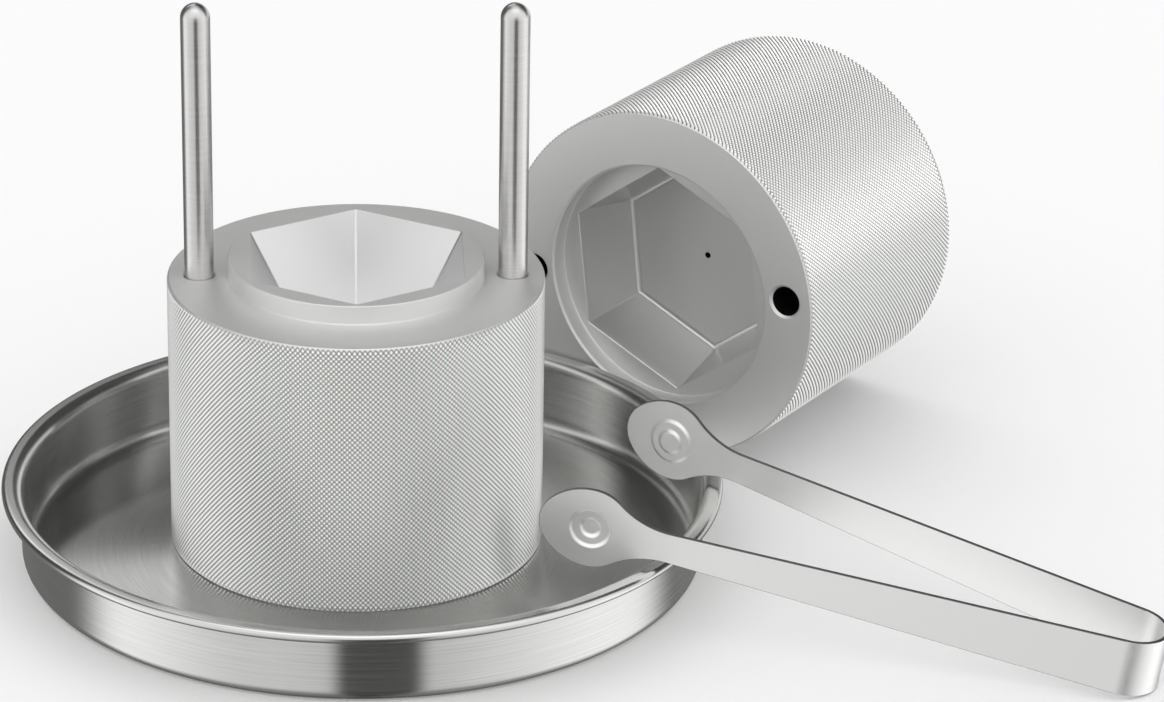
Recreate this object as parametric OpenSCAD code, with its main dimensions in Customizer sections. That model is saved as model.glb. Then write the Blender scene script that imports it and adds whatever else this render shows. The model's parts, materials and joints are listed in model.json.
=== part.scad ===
// Gem-shaped ice press: two knurled aluminium moulds on guide rods, a drip tray and sprung tongs.
// Millimetres, +Z up. The origin is the middle of the tray's foot, on the table.
// The lower mould stands in the tray, the upper mould lies beside it and the tongs rest on the tray's lip.

/* [Moulds] */
// Outside diameter of both moulds
mould_d = 90; // [84:1:96]
// Height of the lower mould, without its collar
lower_h = 67.5; // [62:0.5:80]
// Height of the upper mould
upper_h = 68.5; // [60:0.5:80]
// Chamfer on the outer edges of both moulds
edge_chamfer = 0.6; // [0.2:0.1:1.5]

/* [Collar and recess] */
// Diameter of the raised collar on the lower mould
collar_d = 61; // [60:0.5:63]
// Height of the collar
collar_h = 4.7; // [3:0.1:7]
// Chamfer on the collar's top edge
collar_chamfer = 0.3; // [0.1:0.05:0.4]
// Radial room between the collar and the recess that drops over it
recess_clearance = 0.5; // [0.2:0.1:0.8]
// Room between the collar's top and the recess floor
recess_headroom = 0.2; // [0.1:0.1:1]
// Chamfer on the mouth of the recess
recess_chamfer = 0.5; // [0.1:0.1:0.8]

/* [Gem cavity] */
// Corner to corner width of the gem at its girdle, where the two moulds meet
girdle_w = 58.5; // [50:0.5:59]
// Depth of the pointed half in the lower mould
point_depth = 46.5; // [30:0.5:55]
// Corner to corner width of the small flat at the bottom of the point
point_flat_w = 1.4; // [0.8:0.1:4]
// Depth of the flat-topped half in the upper mould
crown_depth = 18.9; // [8:0.1:30]
// Height of the straight girdle band at the mouth of that half
girdle_h = 2.4; // [1:0.2:5]
// Corner to corner width of the crown's flat table
table_w = 50.2; // [30:0.2:50.2]
// Diameter of the air vent from the table to the upper mould's top face
vent_d = 1.6; // [1:0.1:4]

/* [Guide rods] */
// Diameter of the guide rods
rod_d = 7; // [5:0.1:7.5]
// Distance between the two rod axes
rod_spacing = 74.5; // [73:0.5:76]
// Length of rod that stands above the lower mould's top face
rod_exposed = 68.3; // [40:0.1:90]
// Depth of the sockets that the rods stand in
socket_depth = 21; // [12:0.5:30]
// Radial room of a rod in its socket, so that it pulls out by hand
socket_clearance = 0.08; // [0.04:0.01:0.1]
// Radial room of a rod in the upper mould's guide bore
guide_clearance = 0.3; // [0.1:0.05:0.5]
// Chamfer on the mouths of the sockets
socket_chamfer = 0.35; // [0.1:0.05:0.6]
// Chamfer on both mouths of the guide bores
guide_chamfer = 0.6; // [0.2:0.1:0.8]
// Chamfer on the rods' lower ends
rod_chamfer = 0.4; // [0.1:0.1:1]

/* [Drip tray] */
// Diameter of the tray over its lip
tray_d = 173; // [168:1:180]
// Height of the tray
tray_h = 19.3; // [14:0.1:24]
// Thickness of the tray's sheet steel
tray_sheet = 0.8; // [0.5:0.1:1.2]
// Distance that the lip stands out from the wall
lip_w = 4.5; // [4.4:0.1:7]
// Outside radius of the bend between floor and wall
tray_corner_r = 3; // [2:0.5:7]
// Inside radius of the bend between wall and lip
lip_bend_r = 1.2; // [0.6:0.1:1.8]
// Outside radius of the lip's rolled edge
lip_roll_r = 1.7; // [1.4:0.1:2.2]
// Height of the straight edge below the roll
lip_skirt_h = 0.6; // [0.2:0.1:2]

/* [Tongs] */
// Thickness of the tongs' strip
strip_t = 1; // [0.6:0.1:1.4]
// Width of the strip at the bow
strip_w = 14; // [10:0.5:18]
// Width of the strip at the neck behind each head
neck_w = 7.4; // [5:0.2:9]
// Radius of the bow, at the middle of the strip
bow_r = 8.5; // [6:0.5:12]
// Length of each arm from the bow to the middle of its head
arm_len = 126; // [120:1:140]
// Angle of each arm away from the tongs' middle line
arm_spread = 8.2; // [6:0.1:11]
// Width of the oval heads
head_d = 20; // [18:0.5:22]
// Distance from the middle of each head to its tip
head_tip = 12.3; // [11:0.1:14]
// Radius of each head's tip
head_tip_r = 7.9; // [6:0.1:8.5]
// Radius of the hollow curve between head and neck
head_fillet_r = 20; // [10:1:30]
// Diameter of the outer step pressed into each head
step_outer_d = 11; // [9:0.5:13]
// Diameter of the inner step pressed into each head
step_inner_d = 6.2; // [4:0.2:8]
// Height of each step
step_h = 0.5; // [0.2:0.05:0.8]
// Width of each step's sloping edge
step_slope = 0.5; // [0.2:0.1:0.8]

/* [Layout] */
// Place of the lower mould in the tray, to the right of its middle
mould_x = -1.5; // [-6:0.5:6]
// Place of the lower mould in the tray, behind its middle
mould_y = 7; // [-6:0.5:12]
// Gap between the tray's lip and the open face of the upper mould
upper_gap = 0.9; // [0.6:0.1:30]
// Sideways place of the upper mould along that face
upper_side = 27.4; // [20:0.2:36]
// Compass direction that the upper mould's open face looks in
upper_heading = 234; // [225:0.1:240]
// Roll of the upper mould about its own axis
upper_roll = 7; // [-30:0.1:30]
// Place of the tongs' bow to the right of the tray's middle
bow_x = 174.3; // [165:0.1:190]
// Place of the tongs' bow behind the tray's middle
bow_y = -74.2; // [-90:0.1:-60]
// Compass direction that the tongs point in
tongs_heading = 155.4; // [150:0.1:160]
// Room left under the tongs where they rest on the tray's lip
rest_gap = 1.05; // [0.2:0.05:1.5]
// Room left under the tongs' bow on the table
table_gap = 0.1; // [0.05:0.05:0.5]

/* [Hidden] */
$fn = 96;

// Extra length of a cutting shape past the face that it opens
overcut = 1;
mould_r = mould_d / 2;
collar_r = collar_d / 2;
collar_top = lower_h + collar_h;
recess_r = collar_r + recess_clearance;
recess_depth = collar_h + recess_headroom;
table_depth = recess_depth + crown_depth;
rod_r = rod_d / 2;
rod_x = rod_spacing / 2;
socket_r = rod_r + socket_clearance;
guide_r = rod_r + guide_clearance;
tray_r = tray_d / 2;
wall_r = tray_r - lip_w;
arm_tangent = bow_r * sin(arm_spread);
head_r = head_d / 2;
neck_half = neck_w / 2;
// Distance from a head's middle back to the end of its hollow curve
head_back = sqrt(pow(head_r + head_fillet_r, 2) - pow(neck_half + head_fillet_r, 2));
neck_x = arm_len - head_back;
// Share of the line from a head's middle to its hollow curve's centre that lies inside the head
head_share = head_r / (head_r + head_fillet_r);

// Distance along an arm to the point where its hollow curve meets the round back of the head
touch_x = arm_len - head_back * head_share;
// From a head's middle: the tip's centre, and where the tip meets the flatter arcs from the head's sides
tip_x = head_tip - head_tip_r;
head_side_r = (pow(tip_x, 2) + pow(head_r, 2) - pow(head_tip_r, 2)) / (2 * (head_r - head_tip_r));
tip_touch_x = tip_x * head_side_r / (head_side_r - head_tip_r);
// Radius at which the lip's inner bend ends and its flat begins, and the bend's outside radius
lip_flat_r = wall_r + lip_bend_r;
lip_bend_out_r = lip_bend_r + tray_sheet;
lip_outer_r = tray_r - lip_roll_r;

// Half width of the strip at distance s along an arm
function half_width(s) =
    s < neck_x ? strip_w / 2 + (neck_half - strip_w / 2) * s / neck_x
    : s < touch_x ? neck_half + head_fillet_r - sqrt(pow(head_fillet_r, 2) - pow(s - neck_x, 2))
    : s < arm_len ? sqrt(pow(head_r, 2) - pow(s - arm_len, 2))
    : s < arm_len + tip_touch_x ? sqrt(pow(head_side_r, 2) - pow(s - arm_len, 2)) - head_side_r + head_r
    : sqrt(max(0, pow(head_tip_r, 2) - pow(s - arm_len - tip_x, 2)));

// A point of the tongs' own plan, turned to their heading
function plan_turn(p) = [p.x * cos(tongs_heading) - p.y * sin(tongs_heading),
                         p.x * sin(tongs_heading) + p.y * cos(tongs_heading)];

// Distance along an arm from the bow to a ring about the tray's axis, for tongs that rise at the given angle
function ring_reach(rise, side, ring_r) =
    let (start = plan_turn([-arm_tangent * cos(rise), side * bow_r * cos(arm_spread)]) + [bow_x, bow_y],
         way = plan_turn([cos(arm_spread) * cos(rise), side * sin(arm_spread)]),
         a = way * way,
         b = start * way,
         c = start * start - pow(ring_r, 2))
    (-b - sqrt(b * b - a * c)) / a;

// Height of the lip's top on a ring about the tray's axis
function lip_top(ring_r) =
    tray_h - lip_bend_out_r + sqrt(pow(lip_bend_out_r, 2) - pow(max(0, lip_flat_r - ring_r), 2));

// Angle at which tongs rise from the table if an arm's lower edge is held at the given height at distance s
function rise_angle(s, height) =
    let (a = strip_w / 2 - half_width(s),
         b = bow_r + strip_t / 2 + s * cos(arm_spread) - arm_tangent)
    asin((height - table_gap) / sqrt(a * a + b * b)) - atan2(a, b);

// The rise that keeps both arms clear of the whole lip, reached from a first rise
function lip_rise(rise) =
    max([for (side = [-1, 1], share = [0:0.125:1])
        let (ring_r = wall_r + share * (lip_outer_r - wall_r))
        rise_angle(ring_reach(rise, side, ring_r), lip_top(ring_r) + rest_gap)]);

// The reach and the rise depend on each other, and settle after a few rounds
level_rise = lip_rise(0);
first_rise = lip_rise(level_rise);
tongs_rise = lip_rise(first_rise);
bow_z = table_gap + (bow_r + strip_t / 2) * sin(tongs_rise) + strip_w / 2 * cos(tongs_rise);

// Six-sided pocket with its mouth at z = 0, a straight band below that and then facets that narrow downwards,
// with corners on +Y and -Y
module gem_pocket(mouth_w, floor_w, depth, band = 0) {
    mouth_half = mouth_w / 2 * cos(30);
    floor_half = floor_w / 2 * cos(30);
    profile = [[-floor_half, -depth], [floor_half, -depth], [mouth_half, -band], [mouth_half, overcut],
               [-mouth_half, overcut], [-mouth_half, -band]];
    intersection_for (turn = [0, 60, 120]) {
        rotate([90, 0, turn])
            linear_extrude(height = 2 * mouth_w, center = true)
                polygon(profile);
    }
}

// Round hole from z = 0 down to its depth, with a chamfered mouth
module chamfered_hole(radius, depth, chamfer) {
    translate([0, 0, -depth])
        cylinder(r = radius, h = depth + overcut);
    translate([0, 0, -chamfer])
        cylinder(r1 = radius, r2 = radius + chamfer, h = chamfer);
}

// Sets its children at the two rod axes of a mould
module at_rods() {
    for (side = [-1, 1])
        translate([side * rod_x, 0, 0])
            children();
}

// Puts its children, drawn about the mould's own axis, where the lower mould stands in the tray
module in_tray() {
    translate([mould_x, mould_y, tray_sheet])
        children();
}

// Quarter ring of tray sheet about the origin, turned to its quadrant
module sheet_bend(inner_r, turn) {
    outer_r = inner_r + tray_sheet;
    rotate(turn)
        intersection() {
            difference() {
                circle(outer_r);
                circle(inner_r);
            }
            square(outer_r);
        }
}

// Section of the tray from its axis to the rolled edge of its lip
module tray_section() {
    bend_x = wall_r + lip_bend_r;
    bend_z = tray_h - tray_sheet - lip_bend_r;
    roll_x = tray_r - lip_roll_r;
    roll_z = tray_h - lip_roll_r;
    square([wall_r - tray_corner_r, tray_sheet]);
    translate([wall_r - tray_corner_r, tray_corner_r])
        sheet_bend(tray_corner_r - tray_sheet, -90);
    translate([wall_r - tray_sheet, tray_corner_r])
        square([tray_sheet, bend_z - tray_corner_r]);
    translate([bend_x, bend_z])
        sheet_bend(lip_bend_r, 90);
    translate([bend_x, tray_h - tray_sheet])
        square([roll_x - bend_x, tray_sheet]);
    translate([roll_x, roll_z])
        sheet_bend(lip_roll_r - tray_sheet, 0);
    translate([tray_r - tray_sheet, roll_z - lip_skirt_h])
        square([tray_sheet, lip_skirt_h]);
}

module drip_tray() {
    color("silver")
        rotate_extrude()
            tray_section();
}

module lower_mould() {
    outline = [[0, 0], [mould_r - edge_chamfer, 0], [mould_r, edge_chamfer], [mould_r, lower_h - edge_chamfer],
               [mould_r - edge_chamfer, lower_h], [collar_r, lower_h], [collar_r, collar_top - collar_chamfer],
               [collar_r - collar_chamfer, collar_top], [0, collar_top]];
    color("gainsboro")
        in_tray()
            difference() {
                rotate_extrude()
                    polygon(outline);
                translate([0, 0, collar_top])
                    gem_pocket(girdle_w, point_flat_w, point_depth);
                at_rods()
                    translate([0, 0, lower_h])
                        chamfered_hole(socket_r, socket_depth, socket_chamfer);
            }
}

// One guide rod, standing on its socket's floor, with a domed tip
module guide_rod(side) {
    body_h = socket_depth + rod_exposed - rod_r;
    color("lightgray")
        in_tray()
            translate([side * rod_x, 0, lower_h - socket_depth]) {
                cylinder(r1 = rod_r - rod_chamfer, r2 = rod_r, h = rod_chamfer);
                translate([0, 0, rod_chamfer])
                    cylinder(r = rod_r, h = body_h - rod_chamfer);
                translate([0, 0, body_h])
                    intersection() {
                        sphere(rod_r);
                        cylinder(r = rod_d, h = rod_d);
                    }
            }
}

module left_guide_rod() {
    guide_rod(-1);
}

module right_guide_rod() {
    guide_rod(1);
}

// The upper mould as it stands in use, with its open face down at z = 0
module upright_upper_mould() {
    outline = [[0, recess_depth], [recess_r, recess_depth], [recess_r, recess_chamfer],
               [recess_r + recess_chamfer, 0], [mould_r - edge_chamfer, 0], [mould_r, edge_chamfer],
               [mould_r, upper_h - edge_chamfer], [mould_r - edge_chamfer, upper_h], [0, upper_h]];
    difference() {
        rotate_extrude()
            polygon(outline);
        translate([0, 0, recess_depth])
            rotate([180, 0, 0])
                gem_pocket(girdle_w, table_w, crown_depth, girdle_h);
        translate([0, 0, table_depth - overcut])
            cylinder(d = vent_d, h = upper_h - table_depth + 2 * overcut);
        at_rods() {
            translate([0, 0, upper_h])
                chamfered_hole(guide_r, upper_h + overcut, guide_chamfer);
            rotate([180, 0, 0])
                chamfered_hole(guide_r, guide_chamfer, guide_chamfer);
        }
    }
}

module upper_mould() {
    color("gainsboro")
        rotate([0, 0, upper_heading - 180])
            translate([tray_r + upper_gap, -upper_side, mould_r])
                rotate([0, 90, 0])
                    rotate([0, 0, -90 - upper_roll])
                        upright_upper_mould();
}

// Puts its children, drawn about the bow's axis and pointing along +X, where the tongs lie
module as_tongs_lie() {
    translate([bow_x, bow_y, bow_z])
        rotate([0, -tongs_rise, tongs_heading])
            children();
}

module tongs_bow() {
    color("whitesmoke")
        as_tongs_lie()
            rotate([0, 0, 90 + arm_spread])
                rotate_extrude(angle = 180 - 2 * arm_spread)
                    translate([bow_r - strip_t / 2, -strip_w / 2])
                        square([strip_t, strip_w]);
}

// The part of its children between two distances along X
module between(start, end) {
    intersection() {
        children();
        translate([start, -head_d])
            square([end - start, 2 * head_d]);
    }
}

// Oval outline of a head about its middle: round at the back, flatter arcs along the sides and a round tip
module head_outline() {
    between(-head_d, 0)
        circle(head_r);
    between(0, tip_touch_x)
        intersection_for (side = [-1, 1])
            translate([0, side * (head_side_r - head_r)])
                circle(head_side_r);
    between(tip_touch_x, head_d)
        translate([tip_x, 0])
            circle(head_tip_r);
}

// Side outline of one arm: a strip that narrows to its neck, a hollow curve and an oval head
module arm_outline() {
    touch_y = (neck_half + head_fillet_r) * head_share;
    polygon([[0, -strip_w / 2], [neck_x, -neck_half], [neck_x, neck_half], [0, strip_w / 2]]);
    difference() {
        polygon([[neck_x, -neck_half], [touch_x, -touch_y], [arm_len, -touch_y], [arm_len, touch_y],
                 [touch_x, touch_y], [neck_x, neck_half]]);
        for (side = [-1, 1])
            translate([neck_x, side * (neck_half + head_fillet_r)])
                circle(head_fillet_r);
    }
    translate([arm_len, 0])
        head_outline();
}

// Two round steps that rise along +Z from a face at z = 0, shrunk all round by the given margin
module pressed_steps(margin) {
    for (level = [[step_outer_d, 0], [step_inner_d, step_h]]) {
        base_r = level[0] / 2 - margin;
        translate([0, 0, level[1] - overcut])
            cylinder(r = base_r, h = overcut);
        translate([0, 0, level[1]])
            cylinder(r1 = base_r, r2 = base_r - step_slope, h = step_h);
    }
}

// One arm along +X on the +Y side of the bow's axis, with its steps pressed inwards
module arm() {
    difference() {
        union() {
            translate([0, bow_r, 0])
                rotate([90, 0, 0])
                    linear_extrude(height = strip_t, center = true)
                        arm_outline();
            translate([arm_len, bow_r - strip_t / 2, 0])
                rotate([90, 0, 0])
                    pressed_steps(0);
        }
        translate([arm_len, bow_r + strip_t / 2, 0])
            rotate([90, 0, 0])
                pressed_steps(step_slope);
    }
}

module tongs_near_arm() {
    color("whitesmoke")
        as_tongs_lie()
            rotate([0, 0, arm_spread])
                arm();
}

module tongs_far_arm() {
    color("whitesmoke")
        as_tongs_lie()
            rotate([0, 0, -arm_spread])
                mirror([0, 1, 0])
                    arm();
}

drip_tray();
lower_mould();
left_guide_rod();
right_guide_rod();
upper_mould();
tongs_bow();
tongs_near_arm();
tongs_far_arm();
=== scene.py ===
"""Looks of a gem ice press: knurled aluminium moulds, steel guide rods, a spun drip tray and sprung tongs.

Lengths in the property groups are in metres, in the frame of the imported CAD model.
"""

import json
import math

import bmesh
import bpy
from bpy.props import FloatProperty, FloatVectorProperty, PointerProperty
from mathutils import Matrix, Vector
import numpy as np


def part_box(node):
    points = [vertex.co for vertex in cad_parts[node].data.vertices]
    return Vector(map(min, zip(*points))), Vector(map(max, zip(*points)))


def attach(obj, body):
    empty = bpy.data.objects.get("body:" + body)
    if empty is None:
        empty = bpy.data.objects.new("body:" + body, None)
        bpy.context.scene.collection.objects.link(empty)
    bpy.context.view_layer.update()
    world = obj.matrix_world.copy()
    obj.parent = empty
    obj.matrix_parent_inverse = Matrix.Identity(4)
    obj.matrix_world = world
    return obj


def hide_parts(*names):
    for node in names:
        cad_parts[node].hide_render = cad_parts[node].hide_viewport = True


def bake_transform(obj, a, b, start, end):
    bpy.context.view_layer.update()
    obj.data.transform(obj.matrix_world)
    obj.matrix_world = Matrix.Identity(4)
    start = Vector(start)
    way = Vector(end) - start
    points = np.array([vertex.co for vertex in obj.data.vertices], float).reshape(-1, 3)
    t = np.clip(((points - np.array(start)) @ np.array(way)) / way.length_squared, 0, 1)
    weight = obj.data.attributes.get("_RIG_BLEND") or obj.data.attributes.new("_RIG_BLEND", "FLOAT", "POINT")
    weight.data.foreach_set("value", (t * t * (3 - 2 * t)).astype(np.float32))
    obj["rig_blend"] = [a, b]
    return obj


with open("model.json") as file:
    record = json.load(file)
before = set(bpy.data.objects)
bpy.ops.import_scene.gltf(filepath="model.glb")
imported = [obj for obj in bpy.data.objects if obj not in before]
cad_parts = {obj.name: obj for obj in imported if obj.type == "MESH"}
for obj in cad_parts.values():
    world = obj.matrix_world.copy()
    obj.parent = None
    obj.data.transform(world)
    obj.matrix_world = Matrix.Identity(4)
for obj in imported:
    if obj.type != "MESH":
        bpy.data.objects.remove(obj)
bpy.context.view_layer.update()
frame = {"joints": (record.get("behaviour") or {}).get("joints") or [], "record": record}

bl_info = {
    "name": "Gem ice press",
    "version": (1, 0, 0),
    "blender": (4, 5, 0),
    "location": "3D view > Sidebar > Ice press",
    "description": "Builds the moulds, rods, tray and tongs of a gem ice press around its CAD model",
    "category": "Object",
}

MM = 0.001
# Circles of the large turned pieces, the rods and the small holes have this many sides
TURNED_SIDES = 256
ROD_SIDES = 96
HOLE_SIDES = 64
# Faces that meet at less than this angle are shaded as one smooth surface
SMOOTH_ANGLE = math.radians(29)
# Vertices closer than this are one vertex
WELD = 0.02 * MM
# Attribute of the knurl's vertices: 0 in the valleys and 1 on the crests
TOOTH_HEIGHT = "tooth_height"
# Noise values at which the marks on a metal start and are full, and the height of their relief
MARKS_START, MARKS_FULL = 0.3, 0.7
MARKS_RELIEF = 0.02 * MM
# Sockets of a Mix node's two colours and of the mixed colour
MIX_FROM, MIX_TO, MIX_RESULT = 6, 7, 2
# The photograph's camera: its place, its turns in radians, and its lens and sensor in millimetres
CAMERA_PLACE = Vector((-5.377, -1089.921, 530.563)) * MM
YAW, PITCH, ROLL = 0.0527611, 0.413873, 0.0169959
LENS, SENSOR = 154.64, 36.0


def srgb(hex_colour):
    """Linear RGB of an sRGB colour such as "#c8c8c6"."""
    parts = [int(hex_colour[i : i + 2], 16) / 255 for i in (1, 3, 5)]
    return [c / 12.92 if c <= 0.04045 else ((c + 0.055) / 1.055) ** 2.4 for c in parts]


def length(label, mm, description):
    """A length property with its default in millimetres."""
    return FloatProperty(
        name=label, description=description, default=mm * MM, min=0.0, unit="LENGTH", precision=5
    )


def colour(label, hex_colour, description):
    """A colour property with its default as an sRGB hex value."""
    return FloatVectorProperty(
        name=label, description=description, default=srgb(hex_colour), min=0.0, max=1.0, subtype="COLOR"
    )


class IcePressMouldSizes(bpy.types.PropertyGroup):
    """Sizes that both moulds are turned and milled to."""

    diameter: length("Diameter", 90.0, "Outside diameter over the knurl's crests")
    lower_height: length("Lower height", 67.5, "Height of the lower mould without its collar")
    upper_height: length("Upper height", 68.5, "Height of the upper mould")
    edge_chamfer: length("Edge chamfer", 0.6, "Chamfer at both ends of the walls")
    collar_diameter: length("Collar diameter", 61.0, "Diameter of the lower mould's raised collar")
    collar_height: length("Collar height", 4.7, "Height of the collar")
    collar_round: length("Collar round", 0.3, "Rounding of the collar's top edge and foot")
    recess_clearance: length("Recess clearance", 0.5, "Radial room of the collar in the upper mould's recess")
    recess_headroom: length("Recess headroom", 0.2, "Room between the collar's top and the recess floor")
    recess_chamfer: length("Recess chamfer", 0.5, "Chamfer on the mouth of the recess")
    girdle_width: length("Girdle width", 58.5, "Corner to corner width of the gem where the moulds meet")
    point_depth: length("Point depth", 46.5, "Depth of the pointed cavity")
    point_flat_width: length("Point flat width", 1.4, "Corner to corner width of the flat at the point")
    crown_depth: length("Crown depth", 18.9, "Depth of the flat-topped cavity")
    girdle_height: length("Girdle height", 2.4, "Height of the straight band at the crown's mouth")
    table_width: length("Table width", 50.2, "Corner to corner width of the crown's table")
    vent_diameter: length("Vent diameter", 1.6, "Diameter of the air vent")
    valley_round: length("Valley round", 0.7, "Radius that the cutter leaves in the valleys between facets")
    floor_round: length("Floor round", 1.3, "Radius that the cutter leaves around the crown's table")
    lip_round: length("Lip round", 0.12, "Rounding of the cavities' mouths")


class IcePressKnurlSizes(bpy.types.PropertyGroup):
    """Sizes of the diamond knurl on the moulds' walls."""

    pitch_around: length("Pitch around", 1.22, "Width of one diamond around the mould")
    pitch_up: length("Pitch up", 1.275, "Height of one diamond along the mould")
    depth: length("Depth", 0.42, "Depth from the crests to the valleys")


class IcePressRodSizes(bpy.types.PropertyGroup):
    """Sizes of the guide rods, their sockets and their guide bores."""

    diameter: length("Diameter", 7.0, "Diameter of the rods")
    spacing: length("Spacing", 74.5, "Distance between the rod axes")
    exposed: length("Exposed", 68.3, "Length of rod above the lower mould's top face")
    end_chamfer: length("End chamfer", 0.4, "Chamfer on the lower ends")
    socket_depth: length("Socket depth", 21.0, "Depth of the sockets in the lower mould")
    socket_clearance: length("Socket clearance", 0.08, "Radial room of a rod in its socket")
    socket_chamfer: length("Socket chamfer", 0.35, "Chamfer on the sockets' mouths")
    guide_clearance: length("Guide clearance", 0.3, "Radial room of a rod in its guide bore")
    guide_chamfer: length("Guide chamfer", 0.6, "Chamfer on the guide bores' mouths")


class IcePressTraySizes(bpy.types.PropertyGroup):
    """Sizes of the spun drip tray."""

    diameter: length("Diameter", 173.0, "Diameter over the lip")
    height: length("Height", 19.3, "Height of the tray")
    sheet: length("Sheet", 0.8, "Thickness of the sheet steel")
    lip_width: length("Lip width", 4.5, "Distance that the lip stands out from the wall")
    corner_radius: length("Corner radius", 3.0, "Outside radius of the bend between floor and wall")
    lip_bend: length("Lip bend", 2.0, "Inside radius of the bend between wall and lip")
    lip_roll: length("Lip roll", 1.15, "Outside radius of the lip's rolled bead")
    inner_corner: length("Inner corner", 3.5, "Inside radius of the bend between floor and wall")


class IcePressTongsSizes(bpy.types.PropertyGroup):
    """Sizes of the tongs' bent strip."""

    strip_thickness: length("Strip thickness", 1.0, "Thickness of the strip")
    strip_width: length("Strip width", 14.0, "Width of the strip at the bow")
    neck_width: length("Neck width", 7.4, "Width of the strip behind each head")
    bow_radius: length("Bow radius", 8.5, "Radius of the bow at the middle of the strip")
    arm_length: length("Arm length", 126.0, "Length of each arm from the bow to the middle of its head")
    arm_spread: FloatProperty(
        name="Arm spread",
        description="Angle of each arm away from the tongs' middle line",
        default=math.radians(8.2),
        subtype="ANGLE",
    )
    head_width: length("Head width", 20.0, "Width of the oval heads")
    head_tip: length("Head tip", 12.3, "Distance from the middle of each head to its tip")
    tip_radius: length("Tip radius", 7.9, "Radius of each head's tip")
    head_fillet: length("Head fillet", 20.0, "Radius of the hollow curve between head and neck")
    outer_step: length("Outer step", 11.0, "Diameter of the outer step pressed into each head")
    inner_step: length("Inner step", 6.2, "Diameter of the inner step pressed into each head")
    step_height: length("Step height", 0.5, "Height of each step")
    step_slope: length("Step slope", 1.1, "Width of each step's rounded slope")
    edge_round: length("Edge round", 0.14, "Rounding of the strip's long edges")
    flex_length: length("Flex length", 30.0, "Length of arm that bends with the bow when it is squeezed")


class IcePressFinishes(bpy.types.PropertyGroup):
    """Colours of the metals and of the stage."""

    aluminium: colour("Aluminium", "#e6e6e5", "Blasted and turned aluminium")
    knurled_aluminium: colour("Knurled aluminium", "#fafaf9", "Teeth of the mould walls' knurl")
    # The valley colour is painted shade, darkening the knurl's valleys where light doesn't reach
    painted_valley_shade: colour("Knurl valley", "#5e5e5d", "Valleys between the knurl's teeth")
    milled_aluminium: colour("Milled aluminium", "#dddddd", "Milled facets of the gem")
    # The bores' dark colour is painted shade that stands in for the dark inside a hole
    bore_painted_shade: colour("Drilled aluminium", "#3c3c3c", "Walls of the bores, sockets and vent")
    rod_steel: colour("Rod steel", "#d1d0cf", "Ground guide rods")
    tray_steel: colour("Tray steel", "#cfcfcd", "Spun and brushed tray")
    lip_steel: colour("Lip steel", "#d2d2d0", "Burnished lip of the tray")
    tongs_steel: colour("Tongs steel", "#f8f8f7", "Tumbled tongs")
    # Partly the duller sheared finish and partly painted shade along the strip's edges
    sheared_edge_and_shade: colour("Sheared steel", "#828180", "Edges of the tongs' strip")
    floor: colour("Floor", "#fcfcfc", "Table under the press")


def sizes(context):
    """The press's property groups, by short name."""
    scene = context.scene
    return {name: getattr(scene, "ice_press_" + name) for name in GROUPS}


def mount(name):
    """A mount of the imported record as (point, axis)."""
    found = next(m for m in frame["record"]["mounts"] if m["name"] == name)
    return Vector(found["pos_m"]), Vector(found["axis"]).normalized()


def joint(name):
    """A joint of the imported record."""
    return next(j for j in frame["joints"] if j["name"] == name)


def axes_matrix(origin, along_x, along_z):
    """Matrix of a right-handed local frame with the given origin, X and Z."""
    z = along_z.normalized()
    x = (along_x - along_x.dot(z) * z).normalized()
    columns = (x, z.cross(x), z, origin)
    return Matrix((*([c[row] for c in columns] for row in range(3)), (0, 0, 0, 1)))


def standing_in(low, high):
    """Matrix that stands a piece in the middle of a box's foot."""
    middle = (low + high) / 2
    return Matrix.Translation((middle.x, middle.y, low.z))


# Mesh work


def angles(count):
    """Evenly spaced angles of a full turn."""
    return [2 * math.pi * i / count for i in range(count)]


def circle_loop(bm, radius, z, count=TURNED_SIDES, centre=(0.0, 0.0)):
    """A ring of vertices about the Z direction."""
    x, y = centre
    return [bm.verts.new((x + radius * math.cos(a), y + radius * math.sin(a), z)) for a in angles(count)]


def bridge(bm, first, second, finish=0, closed=True):
    """Quads between two loops with the same number of vertices."""
    count = len(first)
    for i in range(count if closed else count - 1):
        j = (i + 1) % count
        face = bm.faces.new((first[i], first[j], second[j], second[i]))
        face.material_index = finish


def bridge_all(bm, loops, finish=0):
    """Quads along a row of loops."""
    for first, second in zip(loops, loops[1:]):
        bridge(bm, first, second, finish)


def cap(bm, loops, finish=0):
    """Fills the flat region that the loops bound; loops inside the first one are holes."""
    edges = []
    for loop in loops:
        for a, b in zip(loop, loop[1:] + loop[:1]):
            edges.append(bm.edges.get((a, b)) or bm.edges.new((a, b)))
    made = bmesh.ops.triangle_fill(bm, edges=edges, use_beauty=True)
    faces = [g for g in made["geom"] if isinstance(g, bmesh.types.BMFace)]
    if not faces:
        raise RuntimeError("a flat face could not be filled")
    for face in faces:
        face.material_index = finish


def arc(centre, radius, start, end, steps):
    """Points of an arc in a plane, both ends included, with angles in degrees."""
    turn = [math.radians(start + (end - start) * i / steps) for i in range(steps + 1)]
    return [(centre[0] + radius * math.cos(a), centre[1] + radius * math.sin(a)) for a in turn]


def lathe(bm, profile, count):
    """Turns a closed profile of (radius, height) points about Z; points on the axis become poles."""
    loops = []
    for radius, z in profile:
        if radius < WELD:
            loops.append([bm.verts.new((0, 0, z))])
        else:
            loops.append(circle_loop(bm, radius, z, count))
    for first, second in zip(loops, loops[1:]):
        if len(first) > 1 and len(second) > 1:
            bridge(bm, first, second)
            continue
        pole, ring = (first[0], second) if len(first) == 1 else (second[0], first)
        for a, b in zip(ring, ring[1:] + ring[:1]):
            bm.faces.new((pole, a, b))


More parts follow.
